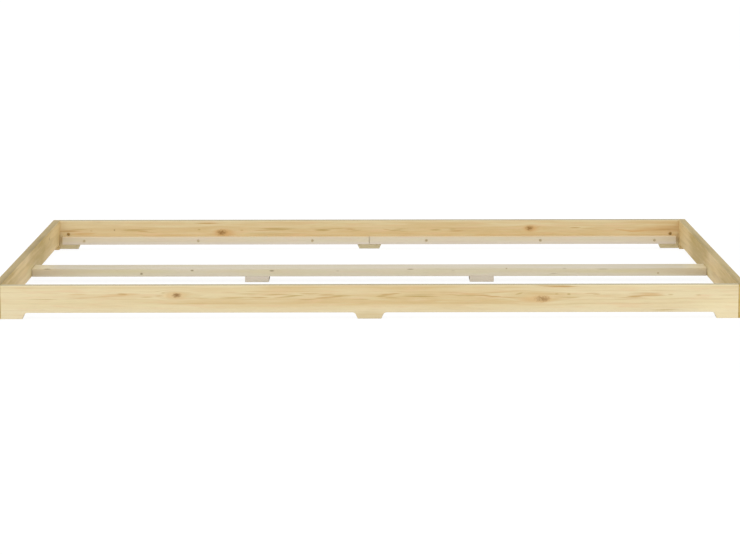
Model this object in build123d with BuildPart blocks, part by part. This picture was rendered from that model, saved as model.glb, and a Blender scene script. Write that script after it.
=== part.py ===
from build123d import *
import os
from math import radians, tan

# A low futon bed frame of solid pine, in millimetres.
# Two long boards stand between two side boards, with feet cut into their
# lower edges. Ledges on the long boards and a flat rail along the middle
# carry the slatted base or the mats under the futon.
# X runs along the bed, Y across it from front to back, and Z up.
# The origin is on the floor under the middle of the bed.

# The bed's inside, which is the size of its mattress
clear_length = 2000
clear_width = 1400

# Boards
board_thickness = 23
board_width = 75
edge_radius = 1.5

# Feet cut into the boards' lower edges
foot_height = 17
corner_foot_length = 58
middle_foot_length = 64
side_foot_length = 47
foot_slope = 65
foot_curve_radius = 10
foot_corner_growth = 0.5

# Height of the ledges and the rail, which are level at top and bottom
bearer_height = 24

# Ledges inside the long boards, two on each, with a hair's gap at the middle
ledge_depth = 24
ledge_end_gap = 10
ledge_middle_gap = 0.8
ledge_edge_radius = 1

# Rail along the middle, laid flat, on two block feet
rail_width = 84
rail_end_gap = 1
rail_edge_radius = 1
rail_foot_length = 71
rail_foot_share = 1 / 3
rail_foot_chamfer = 1

# Countersunk wood screws
screw_radius = 2.25
screw_head_radius = 4.4
screw_head_rim = 0.4
screw_tip_length = 4
screw_sink = 0.2
screw_clearance = 0.1
screw_hole_spare = 1
screw_angle = 90
cross_slot_width = 1.2
cross_slot_length = 4.6
cross_slot_depth = 2.2
cross_slot_taper = 12

# Screws of the ledges and the rail's feet, with how far they bite beyond them
ledge_screw_bite = 16
ledge_screw_count = 3
ledge_screw_end_inset = 70
ledge_screw_middle_inset = 184
rail_foot_screw_bite = 13
rail_foot_screw_count = 2
rail_foot_screw_pitch = 44

# Corner bolts, with flat heads and hexagon sockets
bolt_radius = 3
bolt_past_nut = 7.6
bolt_rise = 7
bolt_head_radius = 7.5
bolt_head_height = 2.4
bolt_tip_chamfer = 0.8
bolt_head_chamfer = 0.5
bolt_clearance = 0.5
bolt_hole_spare = 3
bolt_head_sink = 0.2
socket_across_flats = 4
socket_depth = 3.6

# Barrel nuts across the bolts, dropped in from the inside of the long boards
nut_radius = 5
nut_length = 12
nut_setback = 27
nut_clearance = 0.1
nut_chamfer = 0.5
nut_slot_width = 1.4
nut_slot_depth = 1.6
thread_clearance = 0.1

# Wooden dowels, beside each bolt and in the ends of the rail
dowel_radius = 4
dowel_length = 40
dowel_cover = 8
dowel_chamfer = 1
dowel_clearance = 0.1
dowel_hole_spare = 1
joint_dowel_count = 2
corner_dowel_pitch = 40
rail_dowel_pitch = 50

# Sizes that follow from these
board_top = foot_height + board_width
half_length = clear_length / 2
half_width = clear_width / 2
outer_half_length = half_length + board_thickness
outer_half_width = half_width + board_thickness
foot_run = foot_height / tan(radians(foot_slope))
foot_corner_radius = edge_radius + foot_corner_growth
board_middle = half_width + board_thickness / 2
bearer_middle = foot_height + bearer_height / 2
ledge_reach = half_length - ledge_end_gap
ledge_length = ledge_reach - ledge_middle_gap / 2
ledge_screw_row = ledge_reach - ledge_screw_end_inset - ledge_screw_middle_inset
ledge_screw_pitch = ledge_screw_row / (ledge_screw_count - 1)
ledge_screw_length = ledge_depth + ledge_screw_bite
rail_half_length = half_length - rail_end_gap
rail_foot_place = rail_half_length * rail_foot_share
rail_foot_screw_length = foot_height + rail_foot_screw_bite
pilot_radius = screw_radius + screw_clearance
screw_flare = tan(radians(screw_angle / 2))
screw_cone_height = (screw_head_radius - screw_radius) / screw_flare
screw_mouth_growth = (screw_head_rim + screw_sink) * screw_flare
countersink_radius = screw_head_radius + screw_mouth_growth + screw_clearance
dowel_seat = board_thickness - dowel_cover - dowel_hole_spare
dowel_reach = dowel_length - dowel_seat
dowel_hole_radius = dowel_radius + dowel_clearance
bolt_height = foot_height + bearer_height + bolt_rise
bolt_hole_radius = bolt_radius + bolt_clearance
bolt_counterbore_radius = bolt_head_radius + bolt_clearance
bolt_counterbore_depth = bolt_head_height + bolt_head_sink
bolt_reach = nut_setback + nut_radius + bolt_past_nut
bolt_length = board_thickness - bolt_counterbore_depth + bolt_reach
nut_recess = (board_thickness - nut_length) / 2

sides = {"front": -1, "back": 1}
ends = {"left": -1, "right": 1}


def spread(count, pitch):
    """Places of a row of things about zero, a pitch apart."""
    return [(number - (count - 1) / 2) * pitch for number in range(count)]


def ledge_screw_places(end):
    """Distances along the bed of the screws in one ledge."""
    first = ledge_reach - ledge_screw_end_inset
    return [end * (first - number * ledge_screw_pitch) for number in range(ledge_screw_count)]


def toward_middle(side, x, y, z):
    """A plane across the bed's width that faces the middle of the bed."""
    return Plane(origin=(x, side * y, z), x_dir=(1, 0, 0), z_dir=(0, -side, 0))


def toward_end(end, x, y, z):
    """A plane across the bed's length that faces out past one end."""
    return Plane(origin=(end * x, y, z), x_dir=(0, 0, 1), z_dir=(end, 0, 0))


def toward_floor(x, y, z):
    """A plane that faces down."""
    return Plane(origin=(x, y, z), x_dir=(1, 0, 0), z_dir=(0, 0, -1))


def ledge_screw_planes(side, end, y):
    """Where the screws of one ledge go in, seen on a face at a distance from the middle."""
    return [toward_middle(side, place, y, bearer_middle) for place in ledge_screw_places(end)]


def joint_dowel_planes(side, end):
    """Where the dowels of one corner cross from a long board to a side board."""
    heights = [bolt_height + step for step in spread(joint_dowel_count, corner_dowel_pitch)]
    return [toward_end(end, half_length, side * board_middle, height) for height in heights]


def rail_dowel_planes(end):
    """Where the dowels of one rail end leave a side board."""
    rows = spread(joint_dowel_count, rail_dowel_pitch)
    return [toward_end(end, half_length, row, bearer_middle) for row in rows]


def rail_foot_screw_planes(end, height):
    """Where the screws of one block foot go up, seen at a height."""
    rows = spread(rail_foot_screw_count, rail_foot_screw_pitch)
    return [toward_floor(end * rail_foot_place, row, height) for row in rows]


def half_outline(half, end_foot, middle_foot):
    """One half of a board's outline, from the top over its end to its middle."""
    points = [
        (0, board_top),
        (half, board_top),
        (half, 0),
        (half - end_foot, 0),
        (half - end_foot - foot_run, foot_height),
    ]
    if middle_foot:
        points += [
            (middle_foot / 2 + foot_run, foot_height),
            (middle_foot / 2, 0),
            (0, 0),
        ]
    else:
        points += [(0, foot_height)]
    return points


def board_profile(plane, half, end_foot, middle_foot):
    """Sketch a board's face with its feet and the curves above them."""
    with BuildSketch(plane) as profile:
        with BuildLine():
            Polyline(*half_outline(half, end_foot, middle_foot))
            mirror(about=Plane.YZ)
        make_face()
        rows = profile.vertices().filter_by(lambda corner: abs(corner.X) > 0).group_by(Axis.Y)
        inner_corners = rows[0].filter_by(lambda corner: abs(corner.X) < half)
        fillet(rows[1], foot_curve_radius)
        fillet(inner_corners, foot_corner_radius)
    return profile


def long_board(side):
    """The front or the back board, drilled for its corners and its ledges."""
    plane = Plane.XZ.offset(-side * half_width)
    face = board_profile(plane, half_length, corner_foot_length, middle_foot_length)
    with BuildPart() as board:
        extrude(face.sketch, amount=-side * board_thickness)
        rounded = board.faces().filter_by(Axis.Y).edges().filter_by(Axis.Z, reverse=True)
        fillet(rounded, edge_radius)
        for end in ends.values():
            with Locations(toward_end(end, half_length, side * board_middle, bolt_height)):
                Hole(bolt_hole_radius, bolt_reach + bolt_hole_spare)
            with Locations(*joint_dowel_planes(side, end)):
                Hole(dowel_hole_radius, dowel_reach + dowel_hole_spare)
            nut_place = end * (half_length - nut_setback)
            with Locations(toward_middle(side, nut_place, half_width, bolt_height)):
                Hole(nut_radius + nut_clearance, nut_recess + nut_length)
            with Locations(*ledge_screw_planes(side, end, half_width)):
                Hole(pilot_radius, ledge_screw_bite + screw_hole_spare)
    return board


def side_board(end):
    """A side board, drilled for two corner bolts, their dowels and the rail's."""
    plane = Plane.YZ.offset(end * half_length)
    face = board_profile(plane, outer_half_width, side_foot_length, 0)
    with BuildPart() as board:
        extrude(face.sketch, amount=end * board_thickness)
        tips = board.faces().filter_by(Axis.Y).sort_by(Axis.Y)
        rounded = board.faces().filter_by(Axis.X).edges() + tips[0].edges().filter_by(Axis.X)
        rounded += tips[-1].edges().filter_by(Axis.X)
        fillet(rounded, edge_radius)
        for side in sides.values():
            with Locations(toward_end(end, outer_half_length, side * board_middle, bolt_height)):
                CounterBoreHole(bolt_hole_radius, bolt_counterbore_radius, bolt_counterbore_depth)
            with Locations(*joint_dowel_planes(side, end)):
                Hole(dowel_hole_radius, dowel_seat + dowel_hole_spare)
        with Locations(*rail_dowel_planes(end)):
            Hole(dowel_hole_radius, dowel_seat + dowel_hole_spare)
    return board


def ledge(side, end):
    """One ledge, from the middle of a long board to near its end."""
    with BuildPart() as strip:
        with BuildSketch(Plane.YZ.offset(end * ledge_middle_gap / 2)):
            with Locations((side * (half_width - ledge_depth / 2), bearer_middle)):
                Rectangle(ledge_depth, bearer_height)
        extrude(amount=end * ledge_length)
        fillet(strip.edges().filter_by(Axis.X), ledge_edge_radius)
        with Locations(*ledge_screw_planes(side, end, half_width - ledge_depth)):
            CounterSinkHole(pilot_radius, countersink_radius, counter_sink_angle=screw_angle)
    return strip


def centre_rail():
    """The rail that carries the base along the middle of the bed."""
    with BuildPart() as rail:
        with BuildSketch(Plane.YZ.offset(-rail_half_length)):
            with Locations((0, bearer_middle)):
                Rectangle(rail_width, bearer_height)
        extrude(amount=rail_half_length * 2)
        fillet(rail.edges().filter_by(Axis.X), rail_edge_radius)
        for end in ends.values():
            with Locations(*rail_dowel_planes(end)):
                Hole(dowel_hole_radius, dowel_reach + dowel_hole_spare)
            with Locations(*rail_foot_screw_planes(end, foot_height)):
                Hole(pilot_radius, rail_foot_screw_bite + screw_hole_spare)
    return rail


def rail_foot(end):
    """One block foot under the rail, screwed on from below."""
    with BuildPart() as block:
        with BuildSketch():
            with Locations((end * rail_foot_place, 0)):
                Rectangle(rail_foot_length, rail_width)
        extrude(amount=foot_height)
        underside = block.faces().sort_by(Axis.Z)[0]
        chamfer(underside.edges() + block.edges().filter_by(Axis.Z), rail_foot_chamfer)
        with Locations(*rail_foot_screw_planes(end, 0)):
            CounterSinkHole(pilot_radius, countersink_radius, counter_sink_angle=screw_angle)
    return block


def wood_screw(length):
    """A countersunk screw that points down, with the top of its head at zero."""
    with BuildPart() as screw:
        with BuildSketch(Plane.XZ):
            with BuildLine():
                Polyline(
                    (0, 0),
                    (screw_head_radius, 0),
                    (screw_head_radius, -screw_head_rim),
                    (screw_radius, -screw_head_rim - screw_cone_height),
                    (screw_radius, screw_tip_length - length),
                    (0, -length),
                    close=True,
                )
            make_face()
        revolve(axis=Axis.Z)
        with BuildSketch():
            Rectangle(cross_slot_length, cross_slot_width)
            Rectangle(cross_slot_width, cross_slot_length)
        extrude(amount=-cross_slot_depth, taper=cross_slot_taper, mode=Mode.SUBTRACT)
    return screw


def corner_bolt():
    """A bolt that points down, with the top of its flat head at zero."""
    with BuildPart() as bolt:
        with BuildSketch():
            Circle(bolt_head_radius)
        extrude(amount=-bolt_head_height)
        chamfer(bolt.edges().sort_by(Axis.Z)[-1], bolt_head_chamfer)
        with BuildSketch(Plane.XY.offset(-bolt_head_height)):
            Circle(bolt_radius)
        extrude(amount=-bolt_length)
        chamfer(bolt.edges().sort_by(Axis.Z)[0], bolt_tip_chamfer)
        with BuildSketch():
            RegularPolygon(socket_across_flats / 2, side_count=6, major_radius=False)
        extrude(amount=-socket_depth, mode=Mode.SUBTRACT)
    return bolt


def barrel_nut():
    """A barrel nut that points down, tapped across, with a slot in its top."""
    with BuildPart() as nut:
        with BuildSketch():
            Circle(nut_radius)
        extrude(amount=-nut_length)
        chamfer(nut.edges(), nut_chamfer)
        with BuildSketch(Plane.YZ):
            with Locations((0, -nut_length / 2)):
                Circle(bolt_radius + thread_clearance)
        extrude(amount=nut_radius, both=True, mode=Mode.SUBTRACT)
        with BuildSketch():
            Rectangle(nut_radius * 2, nut_slot_width)
        extrude(amount=-nut_slot_depth, mode=Mode.SUBTRACT)
    return nut


def dowel():
    """A dowel along Z, whose part above zero sits in a side board."""
    with BuildPart() as pin:
        with BuildSketch(Plane.XY.offset(dowel_seat)):
            Circle(dowel_radius)
        extrude(amount=-dowel_length)
        chamfer(pin.edges().filter_by(GeomType.CIRCLE), dowel_chamfer)
    return pin


def placed(piece, planes):
    """Copies of a piece as one group of separate solids, one on each plane."""
    with BuildPart() as group:
        with Locations(*planes):
            add(piece.part)
    return group


def save(piece, name):
    """Label a finished piece and write its file."""
    piece.part.label = name
    export_step(piece.part, f"parts/{name}.step")


os.makedirs("parts", exist_ok=True)

ledge_screw = wood_screw(ledge_screw_length)
rail_foot_screw = wood_screw(rail_foot_screw_length)
bolt = corner_bolt()
nut = barrel_nut()
pin = dowel()

# Boards
for side_name, side in sides.items():
    save(long_board(side), f"{side_name}_board")
for end_name, end in ends.items():
    save(side_board(end), f"{end_name}_side_board")

# Ledges and corner fasteners
for side_name, side in sides.items():
    for end_name, end in ends.items():
        corner = f"{side_name}_{end_name}"
        save(ledge(side, end), f"{corner}_ledge")

        screw_planes = ledge_screw_planes(side, end, half_width - ledge_depth + screw_sink)
        save(placed(ledge_screw, screw_planes), f"{corner}_ledge_screws")

        bolt_head = outer_half_length - bolt_head_sink
        bolt_plane = toward_end(end, bolt_head, side * board_middle, bolt_height)
        save(placed(bolt, [bolt_plane]), f"{corner}_bolt")

        nut_place = end * (half_length - nut_setback)
        nut_plane = toward_middle(side, nut_place, half_width + nut_recess, bolt_height)
        save(placed(nut, [nut_plane]), f"{corner}_barrel_nut")

        save(placed(pin, joint_dowel_planes(side, end)), f"{corner}_dowels")

# Centre rail
save(centre_rail(), "centre_rail")
for end_name, end in ends.items():
    save(rail_foot(end), f"{end_name}_rail_foot")
    screw_planes = rail_foot_screw_planes(end, screw_sink)
    save(placed(rail_foot_screw, screw_planes), f"{end_name}_rail_foot_screws")
    save(placed(pin, rail_dowel_planes(end)), f"{end_name}_rail_dowels")
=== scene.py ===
"""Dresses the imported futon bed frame: pine boards, unfinished ledges and rail, and what joins them.

The boards, ledges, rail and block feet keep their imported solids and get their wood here. The
screws, bolts and dowels are made again, with threads, recesses and flutes, where their solids lie.
Sizes are in millimetres, and metres(...) turns them into Blender's. The studio's are in metres.
"""

import logging
import math
from dataclasses import dataclass, field, replace
from enum import Enum
from typing import Iterable, Sequence

import bpy
from mathutils import Euler, Matrix, Vector


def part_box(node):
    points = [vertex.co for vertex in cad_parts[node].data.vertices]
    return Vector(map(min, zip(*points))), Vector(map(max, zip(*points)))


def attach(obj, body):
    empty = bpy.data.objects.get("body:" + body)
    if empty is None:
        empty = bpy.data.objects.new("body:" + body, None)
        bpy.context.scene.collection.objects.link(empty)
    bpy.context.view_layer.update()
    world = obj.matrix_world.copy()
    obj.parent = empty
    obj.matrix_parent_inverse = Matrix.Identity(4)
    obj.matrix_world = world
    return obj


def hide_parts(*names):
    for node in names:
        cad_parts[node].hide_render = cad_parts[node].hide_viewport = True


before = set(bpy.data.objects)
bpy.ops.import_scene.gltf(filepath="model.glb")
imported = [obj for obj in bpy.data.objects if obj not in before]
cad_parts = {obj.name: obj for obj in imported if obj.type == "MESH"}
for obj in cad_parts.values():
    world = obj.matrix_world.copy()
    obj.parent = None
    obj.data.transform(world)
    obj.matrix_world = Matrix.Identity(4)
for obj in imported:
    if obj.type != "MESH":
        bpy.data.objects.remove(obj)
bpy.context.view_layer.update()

BODY = "root"
MILLIMETRE = 0.001

Socket = bpy.types.NodeSocket
Number = float | Socket
Triple = tuple[float, float, float]
Colour = tuple[int, int, int]
Light = tuple[float, float, float, float]
Pairs = tuple[tuple[float, float], ...]

log = logging.getLogger("bed_frame")


def metres(size: float) -> float:
    """A size in millimetres, in metres."""
    return size * MILLIMETRE


def linear(colour: Colour) -> Light:
    """Turns a screen colour into the light it stands for.

    Args:
        colour: Red, green and blue from 0 to 255.

    Returns:
        The linear red, green and blue, and an alpha of 1.
    """
    shares = [part / 255 for part in colour]
    light = [s / 12.92 if s <= 0.04045 else ((s + 0.055) / 1.055) ** 2.4 for s in shares]
    return (*light, 1.0)


def linked(name: str, data: bpy.types.ID) -> bpy.types.Object:
    """Makes an object and puts it in the scene.

    Args:
        name: The object's name.
        data: Its mesh, lamp or camera.

    Returns:
        The object.
    """
    made = bpy.data.objects.new(name, data)
    bpy.context.scene.collection.objects.link(made)
    return made


@dataclass(frozen=True)
class Noise:
    """Soft noise: its size along, into and up, its seed, and how fine and rough it gets."""

    size: Triple
    seed: float = 0
    detail: float = 2
    rough: float = 0.5


class NodeWriter:
    """Adds nodes to one tree and links them, so that a pattern reads as a sum.

    The four numbers are those of a Mix node's share, its two colours and its mixed colour.
    """

    SHARE, BELOW, ABOVE, MIXED = 0, 6, 7, 2

    def __init__(self, tree: bpy.types.NodeTree) -> None:
        """Keeps the tree and empties it."""
        self.tree = tree
        tree.nodes.clear()

    def add(self, kind: str, inputs: dict | None = None, **settings: object) -> bpy.types.Node:
        """Adds one node.

        Args:
            kind: The node's type.
            inputs: A value or a socket for each input, by the input's name or number.
            settings: The node's own properties, which are set before its inputs.

        Returns:
            The new node.
        """
        node = self.tree.nodes.new(kind)
        for name, value in settings.items():
            setattr(node, name, value)
        for key, value in (inputs or {}).items():
            if isinstance(value, bpy.types.NodeSocket):
                self.tree.links.new(value, node.inputs[key])
            else:
                node.inputs[key].default_value = value
        return node

    def sum(self, operation: str, *values: Number) -> Socket:
        """One step of arithmetic on numbers."""
        return self.add("ShaderNodeMath", dict(enumerate(values)), operation=operation).outputs[0]

    def times(self, one: Number, other: Number) -> Socket:
        """One number times another."""
        return self.sum("MULTIPLY", one, other)

    def total(self, values: Iterable[Number]) -> Number:
        """Adds numbers up.

        Args:
            values: Numbers or sockets, at least one.

        Returns:
            Their sum.
        """
        first, *others = values
        for other in others:
            first = self.sum("ADD", first, other)
        return first

    def swing(self, noise: Number, reach: float, middle: float = 0) -> Socket:
        """Noise from 0 to 1 as a number that goes a reach to either side of a middle."""
        return self.sum("MULTIPLY_ADD", noise, 2 * reach, middle - reach)

    def spread(self, place: Socket, size: Triple, start: Triple = (0, 0, 0)) -> Socket:
        """Measures a place in sizes of its own along, into and up.

        Args:
            place: The place, in millimetres.
            size: What counts as one, on each axis. Zero leaves an axis out.
            start: Where the measure starts, in millimetres.

        Returns:
            The place from the start, in those sizes.
        """
        shares = [1 / part if part else 0.0 for part in size]
        moved = [-part * share for part, share in zip(start, shares)]
        inputs = {0: place, 1: shares, 2: moved}
        return self.add("ShaderNodeVectorMath", inputs, operation="MULTIPLY_ADD").outputs[0]

    def length(self, vector: Socket) -> Socket:
        """The length of a vector."""
        node = self.add("ShaderNodeVectorMath", {0: vector}, operation="LENGTH")
        return node.outputs["Value"]

    def ease(self, value: Number, bounds: tuple[float, float], start: float = 0,
             end: float = 1) -> Socket:
        """Goes smoothly from one number to another.

        Args:
            value: The value that it follows.
            bounds: The values at which it starts and ends.
            start: The number up to the first.
            end: The number from the second on.

        Returns:
            The number.
        """
        low, high = bounds
        inputs = {"Value": value, "From Min": low, "From Max": high, "To Min": start, "To Max": end}
        node = self.add("ShaderNodeMapRange", inputs, interpolation_type="SMOOTHSTEP")
        return node.outputs["Result"]

    def bell(self, distance: Number) -> Socket:
        """A smooth bump that is 1 at no distance and dies away past 1."""
        square = self.times(distance, distance)
        return self.sum("EXPONENT", self.times(square, -1.0))

    def noise(self, place: Socket, noise: Noise, seed: float = 0) -> Socket:
        """Soft noise from 0 to 1.

        Args:
            place: The place, in millimetres.
            noise: What the noise is like.
            seed: Where in the noise this piece lies, beside the noise's own seed.

        Returns:
            The noise's value.
        """
        lot = noise.seed + seed
        along, into, up = noise.size
        spot = self.spread(place, noise.size, (lot * along, -lot * into, 2 * lot * up))
        inputs = {"Vector": spot, "Scale": 1.0, "Detail": noise.detail, "Roughness": noise.rough}
        return self.add("ShaderNodeTexNoise", inputs).outputs[0]

    def line_noise(self, value: Number) -> Socket:
        """Noise from 0 to 1 along a line of numbers."""
        inputs = {"W": value, "Scale": 1.0, "Detail": 1.0}
        return self.add("ShaderNodeTexNoise", inputs, noise_dimensions="1D").outputs[0]

    def mix(self, share: Number, below: object, above: object, blend: str = "MIX") -> Socket:
        """Lays one colour over another.

        Args:
            share: How much of the colour above shows, from 0 to 1.
            below: A colour or a socket.
            above: A colour or a socket.
            blend: How the two meet.

        Returns:
            The mixed colour.
        """
        inputs = {self.SHARE: share, self.BELOW: below, self.ABOVE: above}
        node = self.add("ShaderNodeMix", inputs, data_type="RGBA", blend_type=blend)
        return node.outputs[self.MIXED]

    def stain(self, share: Number, colour: object, tone: Colour) -> Socket:
        """Lays an even tone over a colour."""
        return self.mix(share, colour, linear(tone))

    def ramp(self, value: Number, stops: Sequence[tuple[float, Light]]) -> Socket:
        """Colours that follow a number.

        Args:
            value: The number, from 0 to 1.
            stops: Places on the ramp, each with its linear colour.

        Returns:
            The colour at the number.
        """
        node = self.add("ShaderNodeValToRGB", {"Fac": value})
        points = node.color_ramp.elements
        while len(points) < len(stops):
            points.new(1.0)
        for point, (place, colour) in zip(points, stops):
            point.position = place
            point.color = colour
        return node.outputs["Color"]


class MaterialWriter(NodeWriter):
    """Writes one material."""

    def __init__(self, name: str) -> None:
        """Makes the material, with no nodes yet."""
        self.material = bpy.data.materials.new(name)
        self.material.use_nodes = True
        super().__init__(self.material.node_tree)

    def measured(self, spot: Socket, shift: Triple = (0, 0, 0), angle: float = 0) -> Socket:
        """A spot on the object in millimetres, turned about Z by an angle and then shifted."""
        inputs = {"Vector": spot, "Location": shift, "Rotation": (0.0, 0.0, angle),
                  "Scale": (1 / MILLIMETRE,) * 3}
        return self.add("ShaderNodeMapping", inputs).outputs[0]

    def ended(self, shader: bpy.types.Node) -> bpy.types.Material:
        """The material, ended with its shader."""
        self.add("ShaderNodeOutputMaterial", {"Surface": shader.outputs[0]})
        return self.material


class Ink(Enum):
    """Colours of the marks on the wood. Some pale marks are painted light over shade."""

    PIN = (168, 142, 98)
    OLIVE = (188, 161, 102)
    BROWN = (193, 156, 100)
    RESIN = (209, 171, 116)
    CREAM = (232, 212, 166)
    TAN = (207, 191, 162)
    PALE = (246, 232, 190)
    GREY = (160, 146, 116)


@dataclass(frozen=True)
class KnotLook:
    """Colours of one kind of knot and of the halo round it, and how much of the halo shows."""

    heart: Colour
    body: Colour
    fleck: Colour
    halo: Colour
    halo_strength: float


class KnotKind(Enum):
    """Kinds of knot."""

    BROWN = KnotLook((152, 116, 72), (184, 152, 106), (208, 180, 134), (222, 190, 140), 0.6)
    TAN = KnotLook((172, 138, 90), (190, 156, 108), (214, 186, 138), (218, 184, 132), 0.7)
    DARK = KnotLook((154, 114, 62), (188, 151, 98), (204, 170, 116), (210, 168, 112), 0.8)
    SIDE = KnotLook((150, 120, 78), (178, 146, 98), (196, 166, 116), (206, 174, 122), 0.4)


@dataclass(frozen=True)
class Knot:
    """A branch through a piece.

    It has a place, half sizes and a kind. Its halo trails along by the trail, and its flecks lean
    by the lean, in degrees.
    """

    along: float
    up: float
    half_length: float
    half_height: float
    kind: KnotKind
    trail: float = 0
    lean: float = 0


@dataclass(frozen=True)
class Streak:
    """A pointed stroke of late wood, from one place and height to another."""

    start: float
    start_up: float
    end: float
    end_up: float
    half_height: float
    ink: Ink
    strength: float = 1


@dataclass(frozen=True)
class Mark:
    """A soft oval mark: its place, its half sizes, its colour, its strength and its depth."""

    along: float
    up: float
    half_length: float
    half_height: float
    ink: Ink
    strength: float = 1
    depth: float = 9

    @property
    def both(self) -> tuple["Mark", "Mark"]:
        """The mark on the left of the middle, and the same one on the right."""
        return replace(self, along=-self.along), self


@dataclass(frozen=True)
class Figure:
    """What one piece of wood has of its own.

    Heights are above the floor, and depths are behind the good face. Tones say how ripe the wood is
    along the piece, levels how much of that shows at each height, and behind how much of it is left
    at the back: all of them go from 0 to 1, as do the places of tones and levels. On the side boards
    the ripe tone is partly painted shade on the inner face, which behind keeps off the outer face.
    Some marks are painted light and shade. Below the sap's height, sapwood shows by its strength.
    """

    seed: float
    pith_up: float
    pith_depth: float
    tones: Pairs = ((0, 0.5), (1, 0.5))
    levels: Pairs = ((0, 1), (1, 1))
    behind: float = 1
    sap_height: float = 0
    sap_strength: float = 0
    streaks: tuple[Streak, ...] = ()
    knots: tuple[Knot, ...] = ()
    marks: tuple[Mark, ...] = ()


@dataclass(frozen=True)
class WoodFinish:
    """What pieces of one sort of wood share.

    The top multiplies the colour of upward faces: it is painted light and shade, darker on the
    pine boards' tops and lighter on the softwood pieces' tops. The height is where a figure's levels
    end. Ring pitch, drift and ripple say how far apart the rings are, how far the pith wanders and
    how far the rings waver.
    """

    early: Colour
    late: Colour
    ripe: Colour
    blush: Colour
    pale: Colour
    sap: Colour
    top: Triple
    height: float
    ring_pitch: float
    ring_strength: float
    ripe_strength: float
    blush_strength: float
    pale_strength: float
    drift: float
    ripple: float
    fibre_strength: float
    dash_strength: float
    end_strength: float
    roughness: float
    bump: float
    sheen: float


@dataclass(frozen=True)
class Lie:
    """How a piece of wood lies.

    The middle is that of its good face, taken down to the floor. The turn is about Z, in degrees.
    """

    middle: Triple
    half_length: float
    turn: float = 0

    @property
    def angle(self) -> float:
        """The turn about Z, in radians."""
        return math.radians(self.turn)

    @property
    def shift(self) -> Triple:
        """What takes the turned middle to the origin, in millimetres."""
        return tuple(-(Matrix.Rotation(self.angle, 3, "Z") @ Vector(self.middle)))


# Each finish's top is painted light and shade on upward faces: darker on the pine boards, lighter on
# the softwood.
PINE = WoodFinish(
    early=(235, 219, 178), late=(204, 172, 116), ripe=(219, 192, 140), blush=(232, 200, 158),
    pale=(231, 217, 172), sap=(237, 224, 190), top=(0.7, 0.73, 0.72), height=92, ring_pitch=4.2,
    ring_strength=0.5, ripe_strength=1, blush_strength=0.5, pale_strength=0.5, drift=2.5,
    ripple=0.8, fibre_strength=0.1, dash_strength=0.25, end_strength=0.35, roughness=0.5,
    bump=0.25, sheen=0.25)
BACK_PINE = replace(PINE, sap=(236, 223, 183), top=(0.57, 0.6, 0.55))
# The side boards' darker, more saturated colours are partly their own tone and partly painted shade on
# their inner faces; the left board's top is painted darker still.
SIDE_PINE = replace(
    PINE, early=(236, 209, 154), ripe=(190, 161, 82), late=(178, 150, 94), blush=(222, 188, 136),
    pale=(206, 184, 124), sap=(206, 178, 120), top=(0.67, 0.66, 0.5), ring_strength=0.22,
    blush_strength=0.3, pale_strength=0.3, fibre_strength=0.07, end_strength=0.15)
LEFT_PINE = replace(SIDE_PINE, top=(0.6, 0.575, 0.42))
LEDGE_SOFTWOOD = WoodFinish(
    early=(226, 213, 188), late=(206, 188, 158), ripe=(224, 207, 173), blush=(226, 206, 186),
    pale=(222, 214, 184), sap=(225, 213, 197), top=(1.25, 1.22, 1.16), height=41, ring_pitch=3.4,
    ring_strength=0.35, ripe_strength=0.8, blush_strength=0.5, pale_strength=0.5, drift=4,
    ripple=1, fibre_strength=0.1, dash_strength=0.15, end_strength=0.35, roughness=0.72, bump=0.5,
    sheen=0.4)
RAIL_SOFTWOOD = replace(
    LEDGE_SOFTWOOD, early=(226, 216, 195), late=(206, 191, 156), ripe=(219, 207, 166),
    blush=(225, 208, 186), pale=(219, 213, 178), sap=(226, 216, 195), top=(1.05, 1.05, 1.07),
    ripe_strength=0.9, blush_strength=0.35, pale_strength=0.4, drift=5, ripple=1.2,
    end_strength=0.15)
FOOT_SOFTWOOD = replace(
    RAIL_SOFTWOOD, early=(224, 213, 200), ripe=(218, 205, 178), blush=(224, 206, 194),
    pale=(217, 210, 190))
BEECH = WoodFinish(
    early=(214, 180, 140), late=(198, 160, 118), ripe=(206, 170, 128), blush=(210, 172, 132),
    pale=(212, 184, 142), sap=(214, 180, 140), top=(1, 1, 1), height=92, ring_pitch=3,
    ring_strength=0.4, ripe_strength=0.3, blush_strength=0.3, pale_strength=0.5, drift=1,
    ripple=0.5, fibre_strength=0.2, dash_strength=0.6, end_strength=0.3, roughness=0.65, bump=0.4,
    sheen=0.4)

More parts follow.
